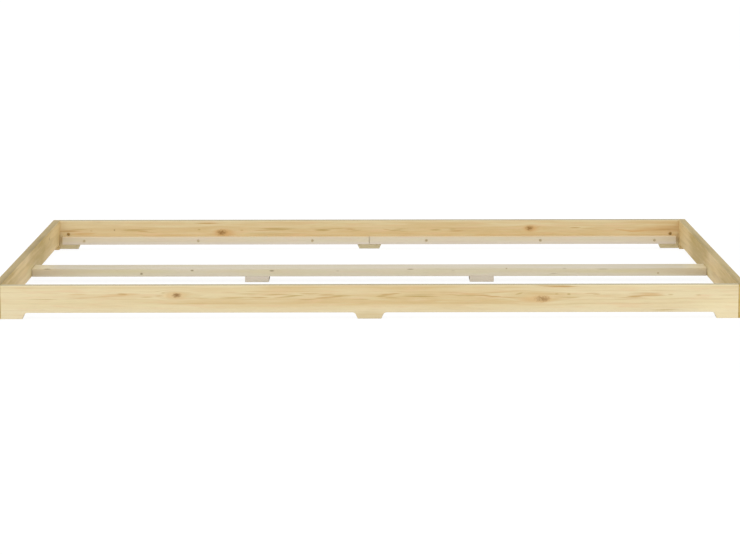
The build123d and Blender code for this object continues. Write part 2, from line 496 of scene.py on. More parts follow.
FRONT_FIGURE = Figure(
    seed=11, pith_up=64, pith_depth=24, sap_height=27, sap_strength=0.6,
    tones=((0, 0.1), (0.12, 0.2), (0.22, 0.5), (0.32, 0.75), (0.6, 0.95), (0.72, 0.75),
           (0.8, 0.35), (1, 0.1)),
    levels=((0.18, 0.3), (0.3, 0.35), (0.42, 0.55), (0.52, 0.95), (0.72, 1), (0.86, 0.65),
            (0.95, 0.5)),
    knots=(Knot(-522, 64.5, 15.5, 8.6, KnotKind.BROWN, -14, 80),
           Knot(468, 53.6, 25, 10.8, KnotKind.TAN, -30, 35)),
    marks=(
        Mark(-554, 63, 7, 6.4, Ink.CREAM, 0.7), Mark(-559, 71.4, 8, 2.2, Ink.OLIVE, 0.4),
        Mark(507, 67.2, 6.5, 2.8, Ink.OLIVE, 0.6), Mark(540, 66.4, 7, 3.4, Ink.OLIVE, 0.8),
        Mark(816, 64.5, 11, 2.8, Ink.OLIVE, 0.5), Mark(892, 63.7, 11, 2.5, Ink.OLIVE, 0.5),
        Mark(0, 6, 80, 24, Ink.OLIVE, 0.35), Mark(990, 20, 170, 60, Ink.PALE, 0.45),
        Mark(-720, 62, 210, 10, Ink.RESIN, 0.3), Mark(790, 88, 280, 11, Ink.PALE, 0.35)),
    streaks=tuple(Streak(*row) for row in (
        (-891, 69.8, -837, 70.9, 2.5, Ink.RESIN, 0.44), (-923, 54.7, -845, 54.9, 1.6, Ink.OLIVE, 0.44),
        (-815, 67, -767, 68.1, 3, Ink.RESIN, 0.5), (-821, 57.1, -745, 58, 1.9, Ink.BROWN, 0.56),
        (-751, 59.9, -662, 63.2, 1.9, Ink.BROWN, 0.75), (-707, 66.5, -626, 68.1, 5.5, Ink.RESIN, 0.5),
        (-683, 68.1, -656, 67.3, 3, Ink.BROWN), (-621, 59.6, -586, 60.4, 1.9, Ink.OLIVE, 0.62),
        (-580, 62.9, -562, 63.5, 1.9, Ink.BROWN, 0.62), (-486, 57.1, -424, 57.1, 1.9, Ink.OLIVE, 0.56),
        (-408, 57.1, -324, 58, 2.2, Ink.OLIVE, 0.75), (-405, 71.4, -359, 71.7, 1.6, Ink.BROWN, 0.44),
        (-367, 68.4, -292, 68.1, 1.9, Ink.OLIVE, 0.62), (-292, 65.4, -235, 66.7, 2.5, Ink.OLIVE, 0.88),
        (-324, 57.7, -270, 59.1, 2.5, Ink.BROWN), (-256, 57.4, -189, 63.7, 2.7, Ink.OLIVE, 0.94),
        (-243, 66.2, -178, 62.9, 2.5, Ink.OLIVE, 0.88), (-192, 52.2, -143, 52.5, 1.9, Ink.OLIVE, 0.75),
        (-189, 68.1, -135, 68.7, 2.2, Ink.BROWN, 0.75), (-140, 65.1, -97, 66.2, 3, Ink.BROWN),
        (-108, 62.9, -46, 63.2, 3, Ink.OLIVE), (-148, 56, -78, 60.4, 3, Ink.BROWN),
        (-49, 52.7, 0, 53.3, 1.9, Ink.OLIVE, 0.62), (19, 61, 49, 63.2, 3.3, Ink.OLIVE),
        (32, 65.4, 65, 66.7, 2.5, Ink.BROWN), (54, 67.8, 84, 69.2, 1.9, Ink.BROWN, 0.75),
        (38, 59.3, 76, 57.1, 1.9, Ink.OLIVE, 0.75), (76, 59.9, 181, 60.4, 2.5, Ink.OLIVE),
        (86, 62.6, 173, 64.3, 4.9, Ink.OLIVE, 0.65), (184, 71.1, 259, 71.1, 1.6, Ink.BROWN, 0.5),
        (208, 65.6, 238, 65.9, 1.9, Ink.BROWN, 0.62), (230, 62.6, 300, 62.9, 2.5, Ink.OLIVE),
        (240, 67, 324, 66.2, 4.7, Ink.RESIN, 0.7), (292, 63.2, 327, 63.2, 2.7, Ink.BROWN),
        (297, 69.8, 367, 71.7, 2.2, Ink.BROWN, 0.88), (316, 59.9, 356, 60.4, 2.7, Ink.BROWN, 0.88),
        (348, 58.2, 408, 57.1, 1.9, Ink.BROWN, 0.56), (394, 64.5, 416, 70.9, 3, Ink.OLIVE, 0.88),
        (454, 89.5, 567, 86.8, 3.8, Ink.BROWN), (521, 57.1, 572, 57.7, 1.9, Ink.OLIVE, 0.62),
        (583, 68.7, 616, 68.9, 1.9, Ink.BROWN, 0.62), (605, 65.9, 626, 66.7, 2.5, Ink.BROWN),
        (702, 68.9, 788, 69.2, 2.2, Ink.BROWN, 0.75), (699, 59.9, 742, 60.7, 2.7, Ink.BROWN),
        (724, 65.4, 794, 64.8, 4.9, Ink.RESIN, 0.65), (729, 62.1, 802, 62.1, 2.5, Ink.BROWN),
        (664, 57.1, 756, 55.2, 1.9, Ink.BROWN, 0.56), (945, 62.9, 1004, 62.6, 1.9, Ink.OLIVE, 0.69),
        (899, 52.2, 1004, 52.2, 1.6, Ink.OLIVE, 0.56), (761, 22.6, 832, 23.1, 2.5, Ink.OLIVE, 0.62))))
BACK_FIGURE = Figure(
    seed=23, pith_up=62, pith_depth=22, sap_height=18, sap_strength=1,
    tones=((0, 0.75), (0.3, 0.9), (0.5, 0.85), (0.7, 1), (1, 0.9)),
    levels=((0.17, 0), (0.22, 0.9), (0.75, 1), (0.88, 0.75), (0.96, 0.5)),
    knots=(Knot(-477, 53.3, 22, 11.5, KnotKind.DARK, 16, -20),
           Knot(518, 65.4, 16, 10, KnotKind.DARK, 8, 40)),
    marks=(
        Mark(-824, 61.5, 3.6, 4.2, Ink.PIN, 0.9), Mark(-899, 58.9, 6, 2.4, Ink.BROWN, 0.6),
        Mark(-550, 62.8, 7, 3, Ink.OLIVE, 0.9), Mark(-412, 60.5, 7, 2.6, Ink.BROWN, 0.6),
        # Pale marks low at both ends, painted light over the shade in the back corners.
        Mark(526, 65, 9, 7, Ink.PIN, 0.6), *Mark(975, 14, 80, 26, Ink.PALE, 0.8).both),
    streaks=tuple(Streak(*row) for row in (
        (-1004, 57.5, -936, 57.9, 4.2, Ink.BROWN), (-965, 63.1, -914, 64, 1.9, Ink.OLIVE, 0.62),
        (-959, 48.1, -888, 50.1, 5.2, Ink.RESIN, 0.75), (-798, 60.5, -727, 60.8, 4.2, Ink.OLIVE),
        (-795, 63.7, -695, 63.7, 2.3, Ink.OLIVE, 0.75), (-747, 56.6, -714, 57.2, 2.3, Ink.BROWN),
        (-727, 54.6, -682, 51.4, 1.9, Ink.OLIVE, 0.56), (-560, 83.2, -489, 82.9, 2.9, Ink.BROWN),
        (-348, 65.3, -248, 66.3, 3.6, Ink.OLIVE), (-335, 62.4, -251, 63.1, 3.6, Ink.OLIVE),
        (-373, 59.8, -315, 59.5, 2.3, Ink.BROWN, 0.62), (-393, 50.1, -225, 49.4, 6.5, Ink.OLIVE, 0.44),
        (-177, 60.5, -126, 60.8, 4.2, Ink.OLIVE), (-167, 63.4, -74, 66.3, 2.6, Ink.OLIVE, 0.75),
        (-77, 64, -42, 63.1, 2.6, Ink.BROWN), (-61, 56.9, -26, 60.8, 2.9, Ink.OLIVE),
        (42, 64, 74, 59.8, 2.6, Ink.BROWN, 0.75), (68, 59.2, 103, 60.5, 3.9, Ink.OLIVE),
        (77, 63.4, 129, 63.7, 1.9, Ink.OLIVE, 0.88), (93, 56.9, 129, 57.2, 1.9, Ink.OLIVE, 0.75),
        (196, 60.1, 232, 60.5, 2.6, Ink.OLIVE), (235, 67.6, 360, 66.3, 1.9, Ink.BROWN, 0.56),
        (257, 63.4, 283, 63.7, 2.6, Ink.OLIVE), (257, 56.9, 309, 57.2, 2.9, Ink.BROWN),
        (302, 56.9, 360, 56.9, 1.9, Ink.OLIVE, 0.62), (531, 66, 553, 70.9, 2.3, Ink.BROWN, 0.62),
        (647, 66.6, 682, 67.6, 2.6, Ink.BROWN, 0.88), (685, 64.7, 747, 60.8, 1.9, Ink.OLIVE, 0.5),
        (792, 62.4, 862, 54, 3.2, Ink.RESIN), (837, 52.7, 920, 60.5, 4.5, Ink.RESIN),
        (850, 57, 1080, 72, 17, Ink.RESIN, 0.75), (907, 56.9, 985, 63.1, 5.2, Ink.BROWN, 0.75))))
# The side boards' ripe tones on their inner faces are partly painted shade.
LEFT_FIGURE = Figure(
    seed=37, pith_up=50, pith_depth=36, behind=0.3,
    tones=((0, 0.9), (0.15, 0.75), (0.27, 0.1), (0.38, 0.15), (0.48, 0.8), (0.64, 1),
           (0.73, 0.6), (0.86, 0.1), (1, 0.2)),
    # A pale mark by the rail's end, painted light over the shade round the rail.
    marks=(Mark(-60, 38, 170, 22, Ink.PALE, 0.55),),
    streaks=(Streak(-640, 40, -210, 54, 8, Ink.OLIVE, 0.3),
             Streak(60, 66, 560, 58, 8, Ink.OLIVE, 0.35)),
    knots=(Knot(410, 70, 9, 6, KnotKind.SIDE),))
RIGHT_FIGURE = Figure(
    seed=53, pith_up=42, pith_depth=38, behind=0.3,
    tones=((0, 0.2), (0.18, 0.05), (0.29, 0.8), (0.38, 1), (0.5, 0.8), (0.58, 0.15),
           (0.68, 0.05), (0.8, 0.65), (1, 0.85)),
    # A pale mark by the rail's end, painted light over the shade round the rail.
    marks=(Mark(60, 38, 170, 22, Ink.PALE, 0.55),),
    streaks=(Streak(-600, 62, -150, 52, 8, Ink.OLIVE, 0.35),
             Streak(60, 40, 460, 50, 8, Ink.OLIVE, 0.3)))
LEDGE_FIGURE = Figure(
    seed=61, pith_up=-22, pith_depth=34, sap_height=24, sap_strength=0.8,
    levels=((0.41, 0), (0.6, 0.4), (0.8, 1)),
    streaks=(Streak(-330, 25, -30, 29, 2, Ink.GREY, 0.12),
             Streak(110, 33, 350, 29, 2, Ink.GREY, 0.12)))
RAIL_FIGURE = Figure(
    seed=83, pith_up=-40, pith_depth=60,
    tones=((0, 0.9), (0.15, 0.8), (0.25, 0.6), (0.7, 0.6), (0.9, 0.8), (1, 1)),
    levels=((0.41, 0), (0.6, 0.5), (0.75, 1), (0.88, 1), (0.97, 0.3)),
    marks=(
        # Pale marks on the top at both ends, painted light over the shade beside the side boards.
        *Mark(1000, 41, 90, 14, Ink.PALE, 0.8, 200).both,
        *Mark(860, 41, 230, 12, Ink.GREY, 0.12, 200).both,
        *Mark(1000, 30, 230, 16, Ink.TAN, 0.9, 6).both,
        Mark(-954, 40, 15, 2.4, Ink.GREY, 0.9), Mark(-675, 25.5, 6, 4.6, Ink.GREY),
        Mark(-525, 35, 7, 3.2, Ink.GREY), Mark(-289, 34, 10, 3.4, Ink.GREY),
        Mark(-94, 33.4, 7, 3, Ink.GREY, 0.3), Mark(121, 38, 14, 2.2, Ink.GREY, 0.9),
        Mark(260, 37.5, 140, 1, Ink.GREY, 0.35), Mark(248, 33.4, 8, 2.4, Ink.GREY, 0.3),
        Mark(406, 40, 3.5, 3, Ink.PIN, 0.7), Mark(546, 24, 17, 1.8, Ink.GREY, 0.5),
        Mark(578, 40, 9, 2.2, Ink.GREY, 0.4), Mark(691, 37.7, 24, 1.8, Ink.GREY, 0.6),
        Mark(855, 25.6, 5, 3.4, Ink.PIN, 0.8)))
FOOT_FIGURE = Figure(seed=97, pith_up=-24, pith_depth=52)
DOWEL_FIGURE = Figure(seed=5, pith_up=-30, pith_depth=20)


class Grain(Enum):
    """Noises of the wood, for the pith, the rings, the tones, the streaks, the knots and fibres."""

    SWAY = Noise((640, 900, 900), 3.1)
    DIP = Noise((430, 900, 900), 9.7)
    WAVE = Noise((55, 7, 7), 1.3, 1)
    PATCH = Noise((170, 40, 9), 6.1)
    CLOUD = Noise((230, 26, 13), 5.3, 3)
    BLUSH = Noise((95, 18, 9), 7.9)
    PALE = Noise((120, 18, 10), 12.7)
    DASH = Noise((7, 0.3, 0.3), 2.7, 0)
    STREAK_SWAY = Noise((26, 60, 9), 4.1)
    STREAK_WEAR = Noise((75, 3, 2.2), 8.3)
    KNOT_RIM = Noise((7, 9, 3.5))
    KNOT_HATCH = Noise((2.6, 9, 9), 3.7)
    FIBRE = Noise((32, 0.5, 0.5), 0, 3, 0.6)


class WoodWriter(MaterialWriter):
    """Writes the material of one piece of wood.

    A pair of numbers here says between which values a pattern comes in or goes out. The other
    numbers are shares, except for the sap's blur, the streaks' reach, the long mark's half length
    and the bump's depth, which are in millimetres, as the good face's depth is.
    """

    # The rings: their bends round a knot, their unevenness, and where each is late wood.
    BEND_LENGTH = 2.6
    BEND_HEIGHT = 1.7
    BEND_REACH = 0.9
    UNEVEN_STEP = 0.6
    UNEVEN_REACH = 1.5
    LATE_IN = (0.35, 0.9)
    LATE_OUT = (0.93, 1)
    LEAST_VIGOUR = 0.3
    PATCH_IN = (0.38, 0.66)
    LEAST_PATCH = 0.2

    # The clear wood: how deep the good face goes, and what its tones are mixed from.
    GOOD_FACE = (0, 18)
    BAND_STEP = 0.14
    BAND_REACH = 0.25
    CLOUD_REACH = 0.65
    RIPE_IN = (-0.1, 1.1)
    BLUSH_IN = (0.5, 0.7)
    PALE_IN = (0.5, 0.72)
    DASH_IN = (0.68, 0.8)
    FIBRE_IN = (0.25, 0.75)
    SAP_BLUR = 5

    # Streaks and marks, and how worn they may get.
    STREAK_REACH = 1
    STREAK_TAIL = 1.35
    STREAK_OUT = (0.15, 1.1)
    STREAK_WEAR_IN = (0.32, 0.6)
    WORN_STREAK = 0.4
    MARK_OUT = (0.25, 1)
    MARK_WEAR_IN = (0.2, 0.6)
    WORN_MARK = 0.45
    LONG_MARK = 12

    # Knots: the halo's size in the knot's own, the rim, the heart and the flecks.
    HALO_LENGTH = 1.9
    HALO_HEIGHT = 1.6
    HALO_OUT = (0.2, 1)
    RIM_REACH = 0.55
    KNOT_OUT = (0.55, 1.15)
    KNOT_STRENGTH = 0.95
    HEART_EDGE = 0.3
    BODY_EDGE = 0.6
    HATCH_IN = (0.5, 0.66)
    HATCH_STRENGTH = 0.75

    # Faces that look up, whose colour has painted light and shade, faces that look along, the relief
    # and the gloss.
    TOP_SHADING_IN = (0.55, 0.95)
    END_IN = (0.8, 0.98)
    RING_RISE = 0.5
    BUMP_DEPTH = 0.15
    ROUGH_IN = (0.2, 0.8)
    ROUGH_REACH = 0.06

    def __init__(self, name: str, finish: WoodFinish, figure: Figure, lie: Lie) -> None:
        """Makes the material.

        Args:
            name: The material's name.
            finish: What the sort of wood shares.
            figure: What the piece has of its own.
            lie: How the piece lies.
        """
        super().__init__(name)
        self.finish = finish
        self.figure = figure
        self.lie = lie
        self.coordinates = self.add("ShaderNodeTexCoord")
        self.place = self.measured(self.coordinates.outputs["Object"], lie.shift, lie.angle)
        self.along, self.depth, self.up = self.add("ShaderNodeSeparateXYZ", {0: self.place}).outputs

    def grain(self, grain: Grain) -> Socket:
        """One of the wood's noises, as this piece has it."""
        return self.noise(self.place, grain.value, self.figure.seed)

    def oval(self, along: float, up: float, half_length: float, half_height: float,
             depth: float = 0) -> Socket:
        """Distance from an oval's middle, 1 at its edge. With no depth it goes right through."""
        size = (half_length, depth, half_height)
        return self.length(self.spread(self.place, size, (along, 0, up)))

    def radius(self) -> Socket:
        """Distance from the pith, which wanders, with the rings' bends round the knots.

        Returns:
            The distance in millimetres.
        """
        finish, figure = self.finish, self.figure
        rise = self.swing(self.grain(Grain.SWAY), finish.drift, -figure.pith_up)
        fall = self.swing(self.grain(Grain.DIP), finish.drift, -figure.pith_depth)
        spot = self.add("ShaderNodeCombineXYZ", {1: self.sum("ADD", self.depth, fall),
                                                 2: self.sum("ADD", self.up, rise)})
        parts = [self.length(spot.outputs[0]), self.swing(self.grain(Grain.WAVE), finish.ripple)]
        for knot in figure.knots:
            near = self.oval(knot.along, knot.up, self.BEND_LENGTH * knot.half_length,
                             self.BEND_HEIGHT * knot.half_height)
            bend = -self.BEND_REACH * knot.half_height
            parts.append(self.times(self.bell(near), bend))
        return self.total(parts)

    def rings(self, radius: Socket) -> Socket:
        """How much late wood there is.

        Args:
            radius: The distance from the pith.

        Returns:
            A share from 0 to 1.
        """
        seed = self.figure.seed
        count = self.sum("DIVIDE", radius, self.finish.ring_pitch)
        uneven = self.line_noise(self.sum("MULTIPLY_ADD", count, self.UNEVEN_STEP, seed))
        count = self.sum("ADD", count, self.times(uneven, self.UNEVEN_REACH))
        part = self.sum("FRACT", count)
        dark = self.times(self.ease(part, self.LATE_IN), self.ease(part, self.LATE_OUT, 1, 0))
        number = self.sum("ADD", self.sum("FLOOR", count), seed)
        lot = self.add("ShaderNodeTexWhiteNoise", {"W": number}, noise_dimensions="1D").outputs[0]
        vigour = self.ease(lot, (0, 1), self.LEAST_VIGOUR)
        patch = self.ease(self.grain(Grain.PATCH), self.PATCH_IN, self.LEAST_PATCH)
        return self.times(self.times(dark, vigour), patch)

    def ripeness(self, radius: Socket) -> Socket:
        """How ripe the wood is, along, up and into the piece and in clouds and bands.

        Args:
            radius: The distance from the pith.

        Returns:
            A share from 0 to the finish's ripe strength.
        """
        finish, figure = self.finish, self.figure
        share = self.sum("MULTIPLY_ADD", self.along, 0.5 / self.lie.half_length, 0.5)
        level = self.sum("DIVIDE", self.up, finish.height)
        tone = self.times(self.curve(share, figure.tones), self.curve(level, figure.levels))
        # On the side boards this tone is partly painted shade, and behind keeps it to the inner face.
        tone = self.times(tone, self.ease(self.depth, self.GOOD_FACE, 1, figure.behind))
        band = self.line_noise(self.sum("MULTIPLY_ADD", radius, self.BAND_STEP, figure.seed))
        cloud = self.grain(Grain.CLOUD)
        loose = self.total([self.swing(band, self.BAND_REACH), self.swing(cloud, self.CLOUD_REACH)])
        return self.ease(self.sum("ADD", tone, loose), self.RIPE_IN, 0, finish.ripe_strength)

    def ground(self, radius: Socket, rings: Socket, fibre: Socket) -> Socket:
        """The clear wood's colour.

        Args:
            radius: The distance from the pith.
            rings: The share of late wood.
            fibre: The fibres' noise.

        Returns:
            The colour.
        """
        finish, figure = self.finish, self.figure
        colour = self.stain(self.ripeness(radius), linear(finish.early), finish.ripe)
        blush = self.ease(self.grain(Grain.BLUSH), self.BLUSH_IN, 0, finish.blush_strength)
        colour = self.stain(blush, colour, finish.blush)
        pale = self.ease(self.grain(Grain.PALE), self.PALE_IN, 0, finish.pale_strength)
        colour = self.stain(pale, colour, finish.pale)
        edge = (figure.sap_height - self.SAP_BLUR, figure.sap_height + self.SAP_BLUR)
        colour = self.stain(self.ease(self.up, edge, figure.sap_strength, 0), colour, finish.sap)
        late = self.times(rings, finish.ring_strength)
        colour = self.stain(late, colour, finish.late)
        dash = self.ease(self.grain(Grain.DASH), self.DASH_IN, 0, finish.dash_strength)
        colour = self.stain(self.times(dash, rings), colour, Ink.PIN.value)
        shade = self.ease(fibre, self.FIBRE_IN, 1 - finish.fibre_strength)
        grey = self.add("ShaderNodeCombineColor", {0: shade, 1: shade, 2: shade}).outputs[0]
        return self.mix(1.0, colour, grey, "MULTIPLY")

    def curve(self, value: Number, points: Pairs) -> Socket:
        """A number from 0 to 1 that follows another through some points."""
        return self.ramp(value, [(place, (part, part, part, 1)) for place, part in points])

    def streaked(self, colour: Socket) -> Socket:
        """Lays the piece's streaks over its colour.

        Args:
            colour: The clear wood.

        Returns:
            The streaked colour.
        """
        sway = self.grain(Grain.STREAK_SWAY)
        level = self.sum("MULTIPLY_ADD", sway, self.STREAK_REACH, self.up)
        worn = self.ease(self.grain(Grain.STREAK_WEAR), self.STREAK_WEAR_IN, self.WORN_STREAK)
        for streak in self.figure.streaks:
            half_length = 0.5 * self.STREAK_TAIL * (streak.end - streak.start)
            middle = 0.5 * (streak.end + streak.start)
            climb = 0.5 * self.STREAK_TAIL * (streak.end_up - streak.start_up)
            height = 0.5 * (streak.end_up + streak.start_up) + 0.5 * self.STREAK_REACH
            share = self.sum("MULTIPLY_ADD", self.along, 1 / half_length, -middle / half_length)
            rise = self.sum("ADD", level, self.sum("MULTIPLY_ADD", share, -climb, -height))
            rise = self.times(self.sum("ABSOLUTE", rise), 1 / streak.half_height)
            reach = self.sum("MULTIPLY_ADD", share, share, rise)
            shown = self.ease(reach, self.STREAK_OUT, streak.strength, 0)
            colour = self.stain(self.times(shown, worn), colour, streak.ink.value)
        return colour

    def marked(self, colour: Socket, fibre: Socket) -> Socket:
        """Lays the piece's marks over its colour; some of them are painted light and painted shade.

        Args:
            colour: The clear wood.
            fibre: The fibres' noise, which breaks the long marks up.

        Returns:
            The marked colour.
        """
        for mark in self.figure.marks:
            near = self.oval(mark.along, mark.up, mark.half_length, mark.half_height, mark.depth)
            share = self.ease(near, self.MARK_OUT, mark.strength, 0)
            if mark.half_length > self.LONG_MARK:
                worn = self.ease(fibre, self.MARK_WEAR_IN, self.WORN_MARK)
                share = self.times(share, worn)
            colour = self.stain(share, colour, mark.ink.value)
        return colour

    def knotted(self, colour: Socket) -> Socket:
        """Lays the piece's knots over its colour.

        Args:
            colour: The marked wood.

        Returns:
            The knotted colour.
        """
        for knot in self.figure.knots:
            look = knot.kind.value
            reach = self.HALO_LENGTH * knot.half_length + 0.5 * abs(knot.trail)
            halo = self.oval(knot.along + 0.5 * knot.trail, knot.up, reach,
                             self.HALO_HEIGHT * knot.half_height)
            halo = self.ease(halo, self.HALO_OUT, look.halo_strength, 0)
            colour = self.stain(halo, colour, look.halo)
            rim = self.noise(self.place, Grain.KNOT_RIM.value, knot.along)
            near = self.total([
                self.oval(knot.along, knot.up, knot.half_length, knot.half_height),
                self.swing(rim, self.RIM_REACH)])
            stops = ((0, look.heart), (self.HEART_EDGE, look.heart), (self.BODY_EDGE, look.body),
                     (1, look.halo))
            body = self.ramp(near, [(place, linear(tone)) for place, tone in stops])
            lean = (0.0, math.radians(knot.lean), 0.0)
            leant = self.add("ShaderNodeMapping", {"Vector": self.place, "Rotation": lean})
            hatch = self.noise(leant.outputs[0], Grain.KNOT_HATCH.value, knot.along)
            hatch = self.ease(hatch, self.HATCH_IN, 0, self.HATCH_STRENGTH)
            body = self.stain(hatch, body, look.fleck)
            colour = self.mix(self.ease(near, self.KNOT_OUT, self.KNOT_STRENGTH, 0), colour, body)
        return colour

    def top_shaded_and_end_toned(self, colour: Socket) -> Socket:
        """Paints light and shade on the upward faces, and gives the ends the darker tone of end grain.

        Args:
            colour: The wood of the other faces.

        Returns:
            The colour of every face.
        """
        finish, angle = self.finish, self.lie.angle
        normal = self.coordinates.outputs["Normal"]
        rise = self.add("ShaderNodeSeparateXYZ", {0: normal}).outputs[2]
        # Painted light and shade: upward faces take the finish's top multiplier.
        top = self.mix(1.0, colour, (*finish.top, 1.0), "MULTIPLY")
        colour = self.mix(self.ease(rise, self.TOP_SHADING_IN), colour, top)
        axis = (math.cos(angle), -math.sin(angle), 0.0)
        facing = self.add("ShaderNodeVectorMath", {0: normal, 1: axis}, operation="DOT_PRODUCT")
        end = self.sum("ABSOLUTE", facing.outputs["Value"])
        return self.stain(self.ease(end, self.END_IN, 0, finish.end_strength), colour, finish.late)

    def write(self) -> bpy.types.Material:
        """Writes the whole material.

        Returns:
            The material.
        """
        finish = self.finish
        radius = self.radius()
        rings = self.rings(radius)
        fibre = self.grain(Grain.FIBRE)
        colour = self.streaked(self.ground(radius, rings, fibre))
        colour = self.top_shaded_and_end_toned(self.knotted(self.marked(colour, fibre)))
        height = self.total([fibre, self.times(rings, self.RING_RISE)])
        bump = self.add("ShaderNodeBump", {
            "Strength": finish.bump, "Distance": metres(self.BUMP_DEPTH), "Height": height})
        rough = self.ease(fibre, self.ROUGH_IN, finish.roughness - self.ROUGH_REACH,
                          finish.roughness + self.ROUGH_REACH)
        return self.ended(self.add("ShaderNodeBsdfPrincipled", {
            "Base Color": colour, "Roughness": rough, "Normal": bump.outputs[0],
            "Specular IOR Level": finish.sheen}))


@dataclass(frozen=True)
class MetalFinish:
    """A plated metal: its colour, the colour it clouds to, its roughness and its fine grain."""

    base: Colour
    tarnish: Colour
    roughness: float
    rough_reach: float = 0.08
    bump: float = 0.2
    bump_depth: float = 0.05
    cloud: Noise = Noise((4, 4, 4), 3, 3)
    cloud_in: tuple[float, float] = (0.35, 0.7)
    fine: Noise = Noise((0.3, 0.3, 0.3), 8)
    fine_in: tuple[float, float] = (0.2, 0.8)

    def material(self, name: str) -> bpy.types.Material:
        """Makes the metal's material.

        Args:
            name: The material's name.

        Returns:
            The material.
        """
        writer = MaterialWriter(name)
        place = writer.measured(writer.add("ShaderNodeTexCoord").outputs["Object"])
        cloud = writer.ease(writer.noise(place, self.cloud), self.cloud_in)
        fine = writer.noise(place, self.fine)
        colour = writer.stain(cloud, linear(self.base), self.tarnish)
        rough = writer.ease(fine, self.fine_in, self.roughness - self.rough_reach,
                            self.roughness + self.rough_reach)
        bump = writer.add("ShaderNodeBump", {
            "Strength": self.bump, "Distance": metres(self.bump_depth), "Height": fine})
        return writer.ended(writer.add("ShaderNodeBsdfPrincipled", {
            "Base Color": colour, "Metallic": 1.0, "Roughness": rough, "Normal": bump.outputs[0]}))


SCREW_METAL = MetalFinish((204, 187, 152), (188, 170, 136), 0.46)
BOLT_METAL = MetalFinish((176, 176, 174), (160, 162, 166), 0.34)
NUT_METAL = MetalFinish((212, 178, 116), (190, 156, 98), 0.5)


def dress(node: str, material: bpy.types.Material) -> None:
    """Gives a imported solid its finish, in every slot that it has.

    Args:
        node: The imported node's name.
        material: What it is made of.
    """
    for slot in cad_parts[node].material_slots:
        slot.material = material
    log.info("dressed %s in %s", node, material.name)


class Side(Enum):
    """Long side of the bed, by its way along Y."""

    FRONT = -1
    BACK = 1


class End(Enum):
    """End of the bed, by its way along X."""

    LEFT = -1
    RIGHT = 1

    @property
    def number(self) -> int:
        """0 for the left end and 1 for the right one."""
        return (self.value + 1) // 2


@dataclass
class BoardSet:
    """The four pine boards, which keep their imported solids."""

    inside_half_length: float = 1000
    inside_half_width: float = 700
    outside_half_width: float = 723
    front_finish: WoodFinish = PINE
    back_finish: WoodFinish = BACK_PINE
    left_finish: WoodFinish = LEFT_PINE
    right_finish: WoodFinish = SIDE_PINE

    def dress(self) -> None:
        """Gives each board its wood."""
        length, width, outer = self.inside_half_length, self.inside_half_width, self.outside_half_width
        boards = (
            ("front_board", self.front_finish, FRONT_FIGURE, Lie((0, -outer, 0), length)),
            ("back_board", self.back_finish, BACK_FIGURE, Lie((0, width, 0), length)),
            ("left_side_board", self.left_finish, LEFT_FIGURE, Lie((-length, 0, 0), outer, -90)),
            ("right_side_board", self.right_finish, RIGHT_FIGURE, Lie((length, 0, 0), outer, 90)))
        for node, finish, figure, lie in boards:
            dress(node, WoodWriter(f"pine_{node}", finish, figure, lie).write())


@dataclass
class BearerSet:
    """The ledges, the centre rail and its block feet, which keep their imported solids."""

    ledge_half_length: float = 495
    ledge_face: float = 676
    # The dark line at the ledges' joint is painted shade and dirt.
    joint: Mark = Mark(0, 29, 2.6, 26, Ink.GREY, 0.6)
    rail_half_length: float = 999
    rail_half_width: float = 42
    foot_half_length: float = 35.5
    foot_place: float = 333
    end_seed: float = 7
    end_pith_up: float = 6
    side_seed: float = 3
    foot_seed: float = 5

    def ledge(self, side: Side, end: End) -> None:
        """Gives one ledge its wood, with a dark line where it meets the next one: painted shade and
        dirt in the joint.

        Args:
            side: The long side it is on.
            end: The end it is at.
        """
        node = f"{side.name}_{end.name}_ledge".lower()
        half_length = self.ledge_half_length
        figure = replace(
            LEDGE_FIGURE, pith_up=LEDGE_FIGURE.pith_up + self.end_pith_up * end.number,
            seed=LEDGE_FIGURE.seed + self.end_seed * end.number + self.side_seed * side.value,
            marks=(replace(self.joint, along=-end.value * side.value * half_length),))
        lie = Lie((end.value * half_length, side.value * self.ledge_face, 0), half_length,
                  180 if side is Side.FRONT else 0)
        dress(node, WoodWriter(f"softwood_{node}", LEDGE_SOFTWOOD, figure, lie).write())

    def rail(self) -> None:
        """Gives the rail its wood."""
        lie = Lie((0, -self.rail_half_width, 0), self.rail_half_length)
        wood = WoodWriter("softwood_centre_rail", RAIL_SOFTWOOD, RAIL_FIGURE, lie)
        dress("centre_rail", wood.write())

    def foot(self, end: End) -> None:
        """Gives one block foot its wood.

        Args:
            end: The end it is nearer to.
        """
        node = f"{end.name}_rail_foot".lower()
        figure = replace(FOOT_FIGURE, seed=FOOT_FIGURE.seed + self.foot_seed * end.number)
        lie = Lie((end.value * self.foot_place, -self.rail_half_width, 0), self.foot_half_length)
        dress(node, WoodWriter(f"softwood_{node}", FOOT_SOFTWOOD, figure, lie).write())

    def dress(self) -> None:
        """Gives every bearer its wood."""
        for side in Side:
            for end in End:
                self.ledge(side, end)
        self.rail()
        for end in End:
            self.foot(end)


class Aim(Enum):
    """Way a fastener points, from its head to its tip."""

    LEFT = (-1, 0, 0)
    RIGHT = (1, 0, 0)
    FRONT = (0, -1, 0)
    BACK = (0, 1, 0)
    UP = (0, 0, 1)

    @property
    def axis(self) -> int:
        """The number of the axis it points along."""
        return [abs(part) for part in self.value].index(1)

    @property
    def turn(self) -> Euler:
        """The turn that takes a fastener from pointing down to pointing this way."""
        return (-Vector(self.value)).to_track_quat("Z", "Y").to_euler()


class Recess(Enum):
    """Star that the tool's recess is cut by: its points, and its inner radius as a share.

    Three points with a full inner radius make a hexagon.
    """

    CROSS = (4, 0.3)
    HEXAGON = (3, 1.0)


class Stock(Enum):
    """What a fastener is made of, by the record's material slot."""

    SCREW = "zinc_plated_screw"
    BOLT = "zinc_plated_bolt"
    NUT = "zinc_plated_nut"
    DOWEL = "beech_dowel"


